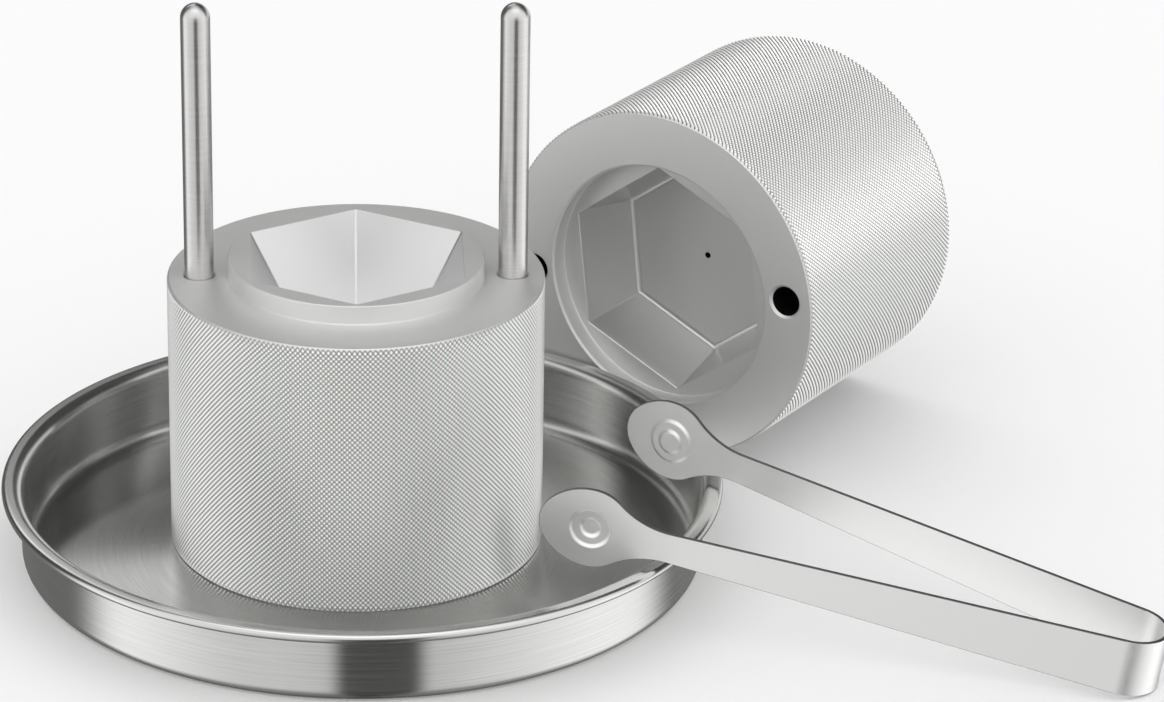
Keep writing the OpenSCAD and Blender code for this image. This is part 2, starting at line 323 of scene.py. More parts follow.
def plain_mesh(obj):
    """The evaluated shape of an object as a mesh of its own."""
    depsgraph = bpy.context.evaluated_depsgraph_get()
    shape = obj.evaluated_get(depsgraph)
    return bpy.data.meshes.new_from_object(shape, preserve_all_data_layers=True, depsgraph=depsgraph)


def finish_piece(name, bm, materials, matrix):
    """Makes an object of a closed shell, with normals that keep flat faces flat beside rounded edges."""
    bm.transform(matrix)
    bmesh.ops.remove_doubles(bm, verts=bm.verts, dist=WELD)
    open_edges = [e for e in bm.edges if not e.is_manifold]
    if open_edges:
        raise RuntimeError(f"{name} isn't a closed shell: {len(open_edges)} edges are open")
    bmesh.ops.recalc_face_normals(bm, faces=bm.faces)
    mesh = bpy.data.meshes.new(name)
    bm.to_mesh(mesh)
    bm.free()
    for material in materials:
        mesh.materials.append(material)
    mesh.shade_smooth()
    mesh.set_sharp_from_angle(angle=SMOOTH_ANGLE)
    obj = bpy.data.objects.new(name, mesh)
    bpy.context.scene.collection.objects.link(obj)
    even = obj.modifiers.new("Even shading", "WEIGHTED_NORMAL")
    even.keep_sharp = True
    shaded = plain_mesh(obj)
    obj.modifiers.clear()
    obj.data = shaded
    bpy.data.meshes.remove(mesh)
    shaded.name = name
    return obj


def hexagon_loop(bm, inradius, corner, z, steps=5):
    """A six-sided loop with rounded corners, two of them on the Y axis."""
    # Near the gem's point the corners shrink with the loop
    corner = min(corner, 0.6 * inradius)
    reach = (inradius - corner) / math.cos(math.pi / 6)
    loop = []
    for side in range(6):
        middle = math.pi / 6 + side * math.pi / 3
        centre = (reach * math.cos(middle), reach * math.sin(middle))
        for i in range(steps + 1):
            a = middle + math.pi / 6 * (2 * i / steps - 1)
            loop.append(bm.verts.new((centre[0] + corner * math.cos(a), centre[1] + corner * math.sin(a), z)))
    return loop


# Node work


def add_node(tree, kind, inputs=None, **settings):
    """Adds a node with its settings, and its inputs by socket name or number; a socket as input is linked."""
    node = tree.nodes.new(kind)
    for key, value in settings.items():
        setattr(node, key, value)
    for key, value in (inputs or {}).items():
        if isinstance(value, bpy.types.NodeSocket):
            tree.links.new(value, node.inputs[key])
        else:
            node.inputs[key].default_value = value
    return node


def knurl_tree():
    """Geometry Nodes tree that sets a four-sided pyramid on each point of a diamond lattice round a mould."""
    name = "Diamond knurl"
    if name in bpy.data.node_groups:
        return bpy.data.node_groups[name]
    tree = bpy.data.node_groups.new(name, "GeometryNodeTree")
    for kind, labels in (
        ("Geometry", ("Geometry",)),
        ("Float", ("Valley radius", "Depth", "Height", "Start")),
        ("Int", ("Around", "Rows")),
        ("Material", ("Material",)),
    ):
        for label in labels:
            tree.interface.new_socket(label, in_out="INPUT", socket_type="NodeSocket" + kind)
    tree.interface.new_socket("Geometry", in_out="OUTPUT", socket_type="NodeSocketGeometry")
    given = add_node(tree, "NodeGroupInput").outputs
    known = {socket.name: socket for socket in given}
    known["index"] = add_node(tree, "GeometryNodeInputIndex").outputs[0]
    spot = add_node(tree, "GeometryNodeInputPosition").outputs[0]
    known["vertex_z"] = add_node(tree, "ShaderNodeSeparateXYZ", {0: spot}).outputs["Z"]
    # Each row works out one value: its label, the operation and what goes into it
    for label, operation, *values in (
        # Two rows of teeth to a diamond, every other row shifted by half a diamond
        ("half_rows", "MULTIPLY", "Rows", 2.0),
        ("levels", "ADD", "half_rows", 1.0),
        ("count", "MULTIPLY", "Around", "levels"),
        ("column", "MODULO", "index", "Around"),
        ("row", "DIVIDE", "index", "Around"),
        ("row", "FLOOR", "row"),
        ("half_turn", "DIVIDE", math.pi, "Around"),
        ("steps", "MULTIPLY", "column", 2.0),
        ("shift", "MODULO", "row", 2.0),
        ("steps", "ADD", "steps", "shift"),
        ("angle", "MULTIPLY", "steps", "half_turn"),
        ("half_height", "DIVIDE", "Height", "half_rows"),
        ("cosine", "COSINE", "angle"),
        ("sine", "SINE", "angle"),
        ("x", "MULTIPLY", "cosine", "Valley radius"),
        ("y", "MULTIPLY", "sine", "Valley radius"),
        ("rise", "MULTIPLY", "row", "half_height"),
        ("z", "ADD", "Start", "rise"),
        ("half_width", "SINE", "half_turn"),
        ("half_width", "MULTIPLY", "half_width", "Valley radius"),
        # The end rows hang over both ends by half a diamond, and these halves come off
        ("below", "LESS_THAN", "vertex_z", "Start"),
        ("end", "ADD", "Start", "Height"),
        ("above", "GREATER_THAN", "vertex_z", "end"),
        ("overhang", "ADD", "below", "above"),
    ):
        inputs = {i: known.get(value, value) for i, value in enumerate(values)}
        known[label] = add_node(tree, "ShaderNodeMath", inputs, operation=operation).outputs[0]
    points = add_node(tree, "GeometryNodePoints", {"Count": known["count"]})
    outward = add_node(tree, "ShaderNodeCombineXYZ", {"X": known["cosine"], "Y": known["sine"]})
    place = add_node(tree, "ShaderNodeCombineXYZ", {axis.upper(): known[axis] for axis in "xyz"})
    lattice = add_node(
        tree, "GeometryNodeSetPosition", {"Geometry": points.outputs[0], "Position": place.outputs[0]}
    )
    turned = add_node(
        tree,
        "FunctionNodeAxesToRotation",
        {"Primary Axis": outward.outputs[0], "Secondary Axis": (0.0, 0.0, 1.0)},
        primary_axis="Z",
        secondary_axis="Y",
    )
    pyramid = add_node(
        tree,
        "GeometryNodeMeshCone",
        {"Vertices": 4, "Radius Top": 0.0, "Radius Bottom": 1.0, "Depth": 1.0},
        fill_type="NONE",
    )
    size = add_node(
        tree,
        "ShaderNodeCombineXYZ",
        {"X": known["half_width"], "Y": known["half_height"], "Z": given["Depth"]},
    )
    # Every tooth knows how high it is, so that shade can be painted into its colour towards the valley
    marked = add_node(
        tree,
        "GeometryNodeStoreNamedAttribute",
        {"Geometry": pyramid.outputs["Mesh"], "Name": TOOTH_HEIGHT, "Value": known["vertex_z"]},
        data_type="FLOAT",
        domain="POINT",
    )
    teeth = add_node(
        tree,
        "GeometryNodeInstanceOnPoints",
        {
            "Points": lattice.outputs[0],
            "Instance": marked.outputs[0],
            "Rotation": turned.outputs[0],
            "Scale": size.outputs[0],
        },
    )
    real = add_node(tree, "GeometryNodeRealizeInstances", {"Geometry": teeth.outputs[0]})
    trimmed = add_node(
        tree,
        "GeometryNodeDeleteGeometry",
        {"Geometry": real.outputs[0], "Selection": known["overhang"]},
        domain="FACE",
    )
    welded = add_node(tree, "GeometryNodeMergeByDistance", {"Geometry": trimmed.outputs[0], "Distance": WELD})
    painted = add_node(
        tree, "GeometryNodeSetMaterial", {"Geometry": welded.outputs[0], "Material": given["Material"]}
    )
    add_node(tree, "NodeGroupOutput", {0: painted.outputs[0]})
    return tree


def knurl_counts(knurl, diameter, height):
    """Whole diamonds around a mould and along it."""
    return round(math.pi * diameter / knurl.pitch_around), round(height / knurl.pitch_up)


def knurl_mesh(knurl, diameter, start, height, material):
    """Knurled wall of a mould, from its lower chamfer to its upper one."""
    around, rows = knurl_counts(knurl, diameter, height)
    base = bpy.data.meshes.new("Knurl base")
    obj = bpy.data.objects.new("Knurl", base)
    bpy.context.scene.collection.objects.link(obj)
    tree = knurl_tree()
    modifier = obj.modifiers.new("Knurl", "NODES")
    modifier.node_group = tree
    values = {
        "Valley radius": diameter / 2 - knurl.depth,
        "Depth": knurl.depth,
        "Height": height,
        "Start": start,
        "Around": around,
        "Rows": rows,
        "Material": material,
    }
    for item in tree.interface.items_tree:
        if item.item_type == "SOCKET" and item.in_out == "INPUT" and item.name in values:
            modifier[item.identifier] = values[item.name]
    mesh = plain_mesh(obj)
    bpy.data.objects.remove(obj)
    bpy.data.meshes.remove(base)
    return mesh


# Materials

# The metals by the finish that gives their colour: what each is, how its surface was made, and in a comment
# what that gives the eye. Marks are in millimetres along X, Y and Z, or across and along rings.
METALS = {
    # An even satin grey without lines; grit of about 0.2 mm, the finest that still shows at this distance
    "aluminium": dict(
        name="Aluminium, turned and fine blasted", roughness=0.6, marks=(0.2, 0.2, 0.2), spread=0.1, bump=0.06
    ),
    # Bright silver pyramids that glitter with the light; the roll leaves every few teeth brighter or duller,
    # and the valleys between them get painted shade
    "knurled_aluminium": dict(
        name="Aluminium, diamond knurled", roughness=0.33, marks=(1.5, 1.5, 1.5), spread=0.1
    ),
    # Milled and polished facets, smoother than the blasted faces, each in its own tone; a grain of 0.15 mm
    "milled_aluminium": dict(
        name="Aluminium, milled facets", roughness=0.34, marks=(0.15, 0.15, 0.15), spread=0.1, bump=0.02
    ),
    # Painted shade: the bore's colour is darkened so that it reads almost black beside its bright chamfer,
    # with feed marks of 0.3 mm
    "bore_painted_shade": dict(
        name="Aluminium bore, painted shade", roughness=0.5, marks=(0.3, 0.3, 0.3), spread=0.2, bump=0.05
    ),
    # Centreless ground, with fine rings of 0.3 mm that draw lights out along the rod
    "rod_steel": dict(
        name="Stainless steel, ground rod",
        roughness=0.31,
        marks=(8.0, 8.0, 0.3),
        spread=0.08,
        tone=0.05,
        brushed=0.8,
    ),
    # Spun and brushed in circles, with lines of 0.4 mm: lights become fans on the floor, bands on the walls
    "tray_steel": dict(
        name="Stainless steel, circular brushed",
        roughness=0.2,
        marks=(0.4, 30.0),
        spread=0.06,
        bump=0.02,
        tone=0.07,
        brushed=1.0,
    ),
    # Burnished by the roll, with bright and dark lines along its edge and faint roll marks of 0.3 mm
    "lip_steel": dict(
        name="Stainless steel, burnished lip",
        roughness=0.23,
        marks=(0.3, 20.0),
        spread=0.08,
        tone=0.05,
        brushed=0.6,
    ),
    # Stamped and tumbled to a pale satin without direction, with marks of 0.4 mm
    "tongs_steel": dict(
        name="Stainless steel, tumbled strip", roughness=0.45, marks=(0.4, 0.4, 0.4), spread=0.15, bump=0.03
    ),
    # A torn, duller grey with shear marks of 0.2 mm, darkened further as painted shade, which draws a thin
    # dark line along the tongs
    "sheared_edge_and_shade": dict(
        name="Stainless steel, sheared edge with painted shade", roughness=0.45, marks=(0.2, 0.2, 0.2), spread=0.2, bump=0.05
    ),
}


def new_material(name, base, roughness):
    """A material with a Principled shader; returns it with its tree and the shader."""
    material = bpy.data.materials.new(name)
    material.use_nodes = True
    tree = material.node_tree
    shader = next(n for n in tree.nodes if n.type == "BSDF_PRINCIPLED")
    shader.inputs["Base Color"].default_value = (*base, 1.0)
    shader.inputs["Roughness"].default_value = roughness
    return material, tree, shader


def marks_in_mm(tree, size):
    """Object coordinates, counted in marks of the given size in millimetres along X, Y and Z."""
    place = add_node(tree, "ShaderNodeTexCoord").outputs["Object"]
    per_mark = [1 / (side * MM) for side in size]
    return add_node(tree, "ShaderNodeVectorMath", {0: place, 1: per_mark}, operation="MULTIPLY").outputs[0]


def rings_in_mm(tree, across, along):
    """Coordinates counted in marks that run round the Z axis, with their width and length in millimetres."""
    place = add_node(tree, "ShaderNodeTexCoord").outputs["Object"]
    parts = add_node(tree, "ShaderNodeSeparateXYZ", {0: place}).outputs
    flat = add_node(tree, "ShaderNodeVectorMath", {0: place, 1: (1.0, 1.0, 0.0)}, operation="MULTIPLY")
    radius = add_node(tree, "ShaderNodeVectorMath", {0: flat.outputs[0]}, operation="LENGTH").outputs["Value"]
    angle = add_node(tree, "ShaderNodeMath", {0: parts["Y"], 1: parts["X"]}, operation="ARCTAN2")
    bow = add_node(tree, "ShaderNodeMath", {0: angle.outputs[0], 1: radius}, operation="MULTIPLY")
    unrolled = add_node(tree, "ShaderNodeCombineXYZ", {"X": radius, "Y": bow.outputs[0], "Z": parts["Z"]})
    inputs = {0: unrolled.outputs[0], 1: (across * MM, along * MM, across * MM)}
    return add_node(tree, "ShaderNodeVectorMath", inputs, operation="DIVIDE").outputs[0]


def bare_metal(base, name, roughness, marks, spread, bump=0.0, tone=0.0, brushed=0.0):
    """A metal whose marks vary roughness and tone by a share and raise a fine relief.

    Brushed is how far lights spread across brush lines that run round the Z axis.
    """
    material, tree, shader = new_material(name, base, roughness)
    shader.inputs["Metallic"].default_value = 1.0
    if brushed:
        around = add_node(tree, "ShaderNodeTangent", direction_type="RADIAL", axis="Z")
        tree.links.new(around.outputs[0], shader.inputs["Tangent"])
        shader.inputs["Anisotropic"].default_value = brushed
        # A quarter turn from along the lines to across them
        shader.inputs["Anisotropic Rotation"].default_value = 0.25
    where = marks_in_mm(tree, marks) if len(marks) == 3 else rings_in_mm(tree, *marks)
    noise = add_node(tree, "ShaderNodeTexNoise", {"Vector": where, "Scale": 1.0, "Detail": 2.0}).outputs[0]
    given = {"Value": noise, "From Min": MARKS_START, "From Max": MARKS_FULL}
    middle = shader.inputs["Roughness"].default_value
    limits = {"To Min": middle * (1 - spread), "To Max": middle * (1 + spread)}
    rough = add_node(tree, "ShaderNodeMapRange", {**given, **limits})
    tree.links.new(rough.outputs[0], shader.inputs["Roughness"])
    if tone:
        share = add_node(tree, "ShaderNodeMapRange", {**given, "To Min": 1 - tone, "To Max": 1 + tone})
        inputs = {0: shader.inputs["Base Color"].default_value[:3], "Scale": share.outputs[0]}
        lines = add_node(tree, "ShaderNodeVectorMath", inputs, operation="SCALE")
        tree.links.new(lines.outputs[0], shader.inputs["Base Color"])
    if bump:
        relief = add_node(
            tree, "ShaderNodeBump", {"Height": noise, "Strength": bump, "Distance": MARKS_RELIEF}
        )
        tree.links.new(relief.outputs[0], shader.inputs["Normal"])
    return material, tree, shader


def paint_valley_shade(tree, shader, finishes):
    """Paints shade into the valleys between the knurl's teeth: the colour darkens from about a third of their
    height down to the valley floor.
    """
    height = add_node(tree, "ShaderNodeAttribute", attribute_name=TOOTH_HEIGHT).outputs["Fac"]
    share = add_node(tree, "ShaderNodeMapRange", {"Value": height, "From Max": 0.35}).outputs[0]
    valley, crest = (*finishes.painted_valley_shade, 1.0), (*finishes.knurled_aluminium, 1.0)
    tone = add_node(tree, "ShaderNodeMix", {0: share, MIX_FROM: valley, MIX_TO: crest}, data_type="RGBA")
    tree.links.new(tone.outputs[MIX_RESULT], shader.inputs["Base Color"])


def metals(finishes, *names):
    """The metals of these finishes, in their order."""
    made = []
    for name in names:
        material, tree, shader = bare_metal(getattr(finishes, name), **METALS[name])
        # The knurl's valleys get painted shade
        if name == "knurled_aluminium":
            paint_valley_shade(tree, shader, finishes)
        made.append(material)
    return made


def white_table(finishes):
    """Matt white table: plain, and pale enough to pass into the background."""
    material, _, shader = new_material("White table", finishes.floor, 0.9)
    shader.inputs["Specular IOR Level"].default_value = 0.0
    return material


# Pieces

# Order of a mould's finishes, and the second finish of the tongs and of the tray
FACE, KNURL, FACET, BORE = range(4)
EDGE = LIP = 1


def knurled_wall(bm, mould, knurl, height, material):
    """Knurl and end chamfers of a mould; returns the loops of its two end faces."""
    chamfer, radius = mould.edge_chamfer, mould.diameter / 2
    wall = height - 2 * chamfer
    around, _ = knurl_counts(knurl, mould.diameter, wall)
    mesh = knurl_mesh(knurl, mould.diameter, chamfer, wall, material)
    bm.from_mesh(mesh)
    bpy.data.meshes.remove(mesh)
    for face in bm.faces:
        face.material_index = KNURL
    # The chamfers cut through the teeth, so the valleys run on past the crests' ends
    tooth_height = bm.verts.layers.float[TOOTH_HEIGHT]
    valleys = [vert for vert in bm.verts if vert[tooth_height] < 0.5]
    ends = []
    for z, way in ((0.0, 1), (height, -1)):
        start = z + way * chamfer
        for vert in valleys:
            if abs(vert.co.z - start) < WELD:
                vert.co.z -= way * knurl.depth
        edge = circle_loop(bm, radius, start, 2 * around)
        for vert in edge[::2]:
            vert[tooth_height] = 1.0
        for vert in edge[1::2]:
            vert.co.xy *= 1 - knurl.depth / radius
            vert.co.z -= way * knurl.depth
        loop = circle_loop(bm, radius - chamfer, z, 2 * around)
        bridge(bm, edge, loop, FACE)
        ends.append(loop)
    return ends


def hole_mouth(bm, x, radius, chamfer, face_z, way):
    """Chamfered mouth of a round hole; way is +1 if the hole runs upwards from its face."""
    mouth = circle_loop(bm, radius + chamfer, face_z, HOLE_SIDES, (x, 0.0))
    throat = circle_loop(bm, radius, face_z + way * chamfer, HOLE_SIDES, (x, 0.0))
    bridge(bm, mouth, throat, FACE)
    return mouth, throat


def lower_mould(groups, knurled):
    """Mesh of the lower mould about its axis, standing on z = 0; knurled is the finish of its wall."""
    mould, rods = groups["moulds"], groups["rods"]
    bm = bmesh.new()
    height = mould.lower_height
    foot, rim = knurled_wall(bm, mould, groups["knurl"], height, knurled)
    cap(bm, [foot])
    # The collar with a rounded foot and top edge
    collar_r = mould.collar_diameter / 2
    top = height + mould.collar_height
    rounding = mould.collar_round
    profile = arc((collar_r + rounding, height + rounding), rounding, 270, 180, 4)
    profile += arc((collar_r - rounding, top - rounding), rounding, 0, 90, 4)
    collar = [circle_loop(bm, r, z) for r, z in profile]
    bridge_all(bm, collar)
    holes = []
    for side in (-1, 1):
        x = side * rods.spacing / 2
        radius = rods.diameter / 2 + rods.socket_clearance
        mouth, throat = hole_mouth(bm, x, radius, rods.socket_chamfer, height, -1)
        end = circle_loop(bm, radius, height - rods.socket_depth, HOLE_SIDES, (x, 0.0))
        bridge(bm, throat, end, BORE)
        cap(bm, [end], BORE)
        holes.append(mouth)
    cap(bm, [rim, collar[0], *holes])
    # The pointed cavity, narrowing from its mouth in the collar
    mouth_in = mould.girdle_width / 2 * math.cos(math.pi / 6)
    flat_in = mould.point_flat_width / 2 * math.cos(math.pi / 6)
    depth = mould.point_depth
    lip = mould.lip_round
    mouth = hexagon_loop(bm, mouth_in + lip, mould.valley_round + lip, top)
    loops = [mouth]
    for share in (0.0, 0.9, 1.0):
        inradius = mouth_in + (flat_in - mouth_in) * share
        drop = lip if share == 0.0 else depth * share
        loops.append(hexagon_loop(bm, inradius, mould.valley_round, top - drop))
    bridge_all(bm, loops, FACET)
    cap(bm, [loops[-1]], FACET)
    cap(bm, [collar[-1], mouth])
    return bm


def upper_mould(groups, knurled):
    """Mesh of the upper mould about its axis, open face down at z = 0; knurled is the finish of its wall."""
    mould, rods = groups["moulds"], groups["rods"]
    bm = bmesh.new()
    height = mould.upper_height
    open_rim, top_rim = knurled_wall(bm, mould, groups["knurl"], height, knurled)
    recess_r = mould.collar_diameter / 2 + mould.recess_clearance
    recess_depth = mould.collar_height + mould.recess_headroom
    rounding = mould.collar_round
    profile = [(recess_r + mould.recess_chamfer, 0.0), (recess_r, mould.recess_chamfer)]
    profile += arc((recess_r - rounding, recess_depth - rounding), rounding, 0, 90, 4)
    recess = [circle_loop(bm, r, z) for r, z in profile]
    bridge_all(bm, recess)
    guide_r = rods.diameter / 2 + rods.guide_clearance
    open_holes, top_holes = [], []
    for side in (-1, 1):
        x = side * rods.spacing / 2
        open_mouth, open_throat = hole_mouth(bm, x, guide_r, rods.guide_chamfer, 0.0, 1)
        top_mouth, top_throat = hole_mouth(bm, x, guide_r, rods.guide_chamfer, height, -1)
        bridge(bm, open_throat, top_throat, BORE)
        open_holes.append(open_mouth)
        top_holes.append(top_mouth)
    cap(bm, [open_rim, recess[0], *open_holes])
    # The flat-topped cavity, with the round that the cutter leaves at its table
    mouth_in = mould.girdle_width / 2 * math.cos(math.pi / 6)
    table_in = mould.table_width / 2 * math.cos(math.pi / 6)
    depth = mould.crown_depth
    lip = mould.lip_round
    girdle = mould.girdle_height
    lean = math.atan2(mouth_in - table_in, depth - girdle)
    turn = math.pi / 2 - lean
    # Distance from the sharp floor corner to where the round leaves the facet and the table
    back = mould.floor_round * math.tan(turn / 2)
    mouth = hexagon_loop(bm, mouth_in + lip, mould.valley_round + lip, recess_depth)
    loops = [mouth]
    for drop in (lip, girdle):
        loops.append(hexagon_loop(bm, mouth_in, mould.valley_round, recess_depth + drop))
    steps = 6
    for i in range(steps + 1):
        a = lean + turn * i / steps
        inradius = table_in - back + mould.floor_round * math.cos(a)
        z = depth - mould.floor_round * (1 - math.sin(a))
        loops.append(hexagon_loop(bm, inradius, mould.valley_round, recess_depth + z))
    bridge_all(bm, loops, FACET)
    cap(bm, [recess[-1], mouth])
    vent_r = mould.vent_diameter / 2
    vent = [circle_loop(bm, vent_r, z, HOLE_SIDES) for z in (recess_depth + depth, height)]
    bridge_all(bm, vent, BORE)
    # The table is blasted, as the outer faces are
    cap(bm, [loops[-1], vent[0]])
    cap(bm, [top_rim, vent[1], *top_holes])
    return bm


def tray_profile(tray):
    """Section of the tray from the middle of its floor over the lip and back below, as (radius, height)."""
    radius, height, sheet = tray.diameter / 2, tray.height, tray.sheet
    wall = radius - tray.lip_width
    corner = (wall - tray.corner_radius, tray.corner_radius)
    bend = (wall + tray.lip_bend, height - sheet - tray.lip_bend)
    roll = (radius - tray.lip_roll, height - tray.lip_roll)
    fillet = tray.inner_corner
    inside = [(0.0, sheet), (corner[0] * 0.5, sheet)]
    inside += arc((wall - sheet - fillet, sheet + fillet), fillet, 270, 360, 12)
    inside += arc(bend, tray.lip_bend + sheet, 180, 90, 10)
    inside += arc(roll, tray.lip_roll, 90, -90, 20)
    outside = arc(roll, tray.lip_roll - sheet, -90, 90, 8)
    outside += arc(bend, tray.lip_bend, 90, 180, 8)
    outside += arc(corner, tray.corner_radius, 360, 270, 12)
    outside += [(corner[0] * 0.5, 0.0), (0.0, 0.0)]
    return inside + outside


def rod_profile(rods):
    """Section of a rod from its chamfered lower end to its domed tip, standing on z = 0."""
    radius = rods.diameter / 2
    body = rods.socket_depth + rods.exposed - radius
    profile = [(0.0, 0.0), (radius - rods.end_chamfer, 0.0), (radius, rods.end_chamfer)]
    profile += arc((0.0, body), radius, 0, 90, 16)
    profile[-1] = (0.0, body + radius)
    return profile


def arm_outline(tongs, inset):
    """Outline of an arm as (along, across): lower edge, head, and how many points belong to the straight."""
    head = tongs.head_width / 2
    fillet = tongs.head_fillet
    neck = tongs.neck_width / 2
    back = math.sqrt((head + fillet) ** 2 - (neck + fillet) ** 2)
    neck_x = tongs.arm_length - back
    meet = math.degrees(math.atan2(neck + fillet, back))
    wide = tongs.strip_width / 2
    # The part that flexes has closely spaced points
    steps = 20
    marks = [tongs.flex_length * i / steps for i in range(steps + 1)]
    below = [(x, inset - wide + (wide - neck) * x / neck_x) for x in marks]
    below += arc((neck_x, -(neck + fillet)), fillet + inset, 90, meet, 8)
    # The head is round at the back, with flatter arcs along its sides and a round tip
    tip = tongs.tip_radius
    tip_x = tongs.head_tip - tip
    side = (tip_x**2 + head**2 - tip**2) / (2 * (head - tip))
    lean = math.degrees(math.atan2(side - head, tip_x))
    lower = arc((tongs.arm_length, 0.0), head - inset, meet - 180, -90, 12)[1:]
    lower += arc((tongs.arm_length, side - head), side - inset, -90, -lean, 10)[1:]
    lower += arc((tongs.arm_length + tip_x, 0.0), tip - inset, -lean, 0, 8)[1:]
    upper = [(x, -z) for x, z in reversed(lower[:-1])]
    return below, lower + upper, len(marks) + 1


def step_profile(tongs, raised):
    """Relief of a head's pressed steps as (radius, height) from the flat to the middle."""
    slope, rise = tongs.step_slope, tongs.step_height
    margin = 0.0 if raised else slope / 2
    steps = 8
    profile = []
    for diameter, level in ((tongs.outer_step, 0.0), (tongs.inner_step, rise)):
        base = diameter / 2 - margin + slope / 4
        for i in range(steps + 1):
            share = i / steps
            ease = share * share * (3 - 2 * share)
            profile.append((base - slope * share, level + rise * ease))
    return profile


def tongs_arm(tongs):
    """Mesh of an arm along +X on the +Y side of the bow's axis, with its steps pressed towards the axis."""
    bm = bmesh.new()
    half = tongs.strip_thickness / 2
    edge = tongs.edge_round
    steps = 3
    loops = []
    for side in (1, -1):
        for i in range(steps + 1):
            a = math.pi / 2 * (i if side == 1 else steps - i) / steps
            below, round_head, straight = arm_outline(tongs, edge * (1 - math.sin(a)))
            outline = below + round_head + [(x, -z) for x, z in reversed(below)]
            y = tongs.bow_radius + side * (half - edge + edge * math.cos(a))
            loops.append([bm.verts.new((x, y, z)) for x, z in outline])
    bridge_all(bm, loops, EDGE)
    for loop, side in ((loops[0], 1), (loops[-1], -1)):
        # Quads along the straight part, which flexes, then the head around its pressed steps
        bridge(bm, loop[:straight], loop[-straight:][::-1], closed=False)
        y = tongs.bow_radius + side * half
        rings = []
        for radius, rise in step_profile(tongs, side == -1):
            rings.append(
                [
                    bm.verts.new((tongs.arm_length + radius * math.cos(a), y - rise, radius * math.sin(a)))
                    for a in angles(HOLE_SIDES)
                ]
            )
        bridge_all(bm, rings)
        cap(bm, [rings[-1]])
        cap(bm, [loop[straight - 1 : len(loop) - straight + 1], rings[0]])
    return bm


def tongs_bow(tongs):
    """Mesh of the bow about its own axis, open towards +X."""
    bm = bmesh.new()
    half_t, half_w, edge = tongs.strip_thickness / 2, tongs.strip_width / 2, tongs.edge_round
    section = []
    for sx, sz, start in ((1, 1, 0), (-1, 1, 90), (-1, -1, 180), (1, -1, 270)):
        section += arc((sx * (half_t - edge), sz * (half_w - edge)), edge, start, start + 90, 3)
    steps = 64
    spread = tongs.arm_spread
    loops = []
    for i in range(steps + 1):
        a = math.pi / 2 + spread + (math.pi - 2 * spread) * i / steps
        loops.append(
            [
                bm.verts.new(((tongs.bow_radius + x) * math.cos(a), (tongs.bow_radius + x) * math.sin(a), z))
                for x, z in section
            ]
        )
    bridge_all(bm, loops)
    bm.normal_update()
    for face in bm.faces:
        if abs(face.normal.z) > 0.5:
            face.material_index = EDGE
    bm.faces.new(loops[0])
    bm.faces.new(loops[-1])
    return bm


# Stage

# Colours that metal finds in the studio's dark parts and in its lit ones
STUDIO_DARK, STUDIO_LIT = (0.07, 0.07, 0.068, 1.0), (1.12, 1.12, 1.12, 1.0)
# How the studio's light is worked out, row by row: a name, then an operation and what goes into it, or a fade
# with its angle, the degrees between which it goes and the levels there. Fades of one name are multiplied.
# Turn is 0 at the camera and grows to the right, away is the same on both sides, and rise goes up from level.
STUDIO = (
    ("turn", "ARCTAN2", "side", "front"),
    ("away", "ABSOLUTE", "turn"),
    ("rise", "ARCSINE", "up"),
    # A dark gap for the camera, a little to its right and close to the table
    ("from_gap", "SUBTRACT", "turn", math.radians(8)),
    ("from_gap", "ABSOLUTE", "from_gap"),
    ("gap", "FADE", "from_gap", 11, 18, 0.0, 1.0),
    ("gap", "FADE", "from_gap", 5, 40, 0.8, 1.0),
    ("gap_top", "FADE", "rise", 0, 18, 0.0, 1.0),
    ("gap", "MAXIMUM", "gap", "gap_top"),
    # A bright backdrop at the back left, with a sharp lower edge
    ("backdrop", "FADE", "rise", 25, 27, 0.0, 1.3),
    ("backdrop", "FADE", "rise", 30, 45, 1.0, 0.5),
    ("backdrop", "FADE", "turn", -179, -172, 0.0, 1.0),
    ("backdrop", "FADE", "turn", -150, -135, 1.0, 0.0),
    # Bright sides, a little brighter on the right
    ("sides", "FADE", "away", 88, 102, 1.0, 0.0),
    ("sides", "FADE", "turn", -90, 130, 0.97, 1.07),
    # Near the table their light grows away from the camera and reaches further round on the right
    ("reach", "FADE", "turn", -90, 90, 0.0, math.radians(-20)),
    ("reach", "ADD", "away", "reach"),
    ("low", "FADE", "reach", 86, 110, 1.0, 0.1),
    ("low", "FADE", "away", 30, 96, 0.78, 1.27),
    ("near_table", "FADE", "rise", -10, 15, 1.0, 0.0),
    ("low", "MULTIPLY", "low", "near_table"),
    ("above_table", "SUBTRACT", 1.0, "near_table"),
    ("sides", "MULTIPLY", "sides", "above_table"),
    ("sides", "ADD", "low", "sides"),
    # A low fill light at the back right
    ("fill", "FADE", "rise", -18, -8, 0.0, 0.9),
    ("fill", "FADE", "rise", 10, 18, 1.0, 0.0),
    ("fill", "FADE", "turn", 112, 128, 0.0, 1.0),
    # All of these with the ceiling, without the gap, and darker from far below
    ("ceiling", "FADE", "rise", 50, 75, 0.0, 0.6),
    ("room", "MAXIMUM", "sides", "fill"),
    ("back", "MAXIMUM", "backdrop", "ceiling"),
    ("room", "MAXIMUM", "room", "back"),
    ("room", "MULTIPLY", "gap", "room"),
    ("room", "FADE", "rise", -60, -34, 0.2, 1.0),
    # A softbox high above the camera
    ("softbox", "FADE", "rise", 52, 62, 0.0, 0.6),
    ("softbox", "FADE", "away", 60, 90, 1.0, 0.0),
    ("room", "ADD", "room", "softbox"),
)


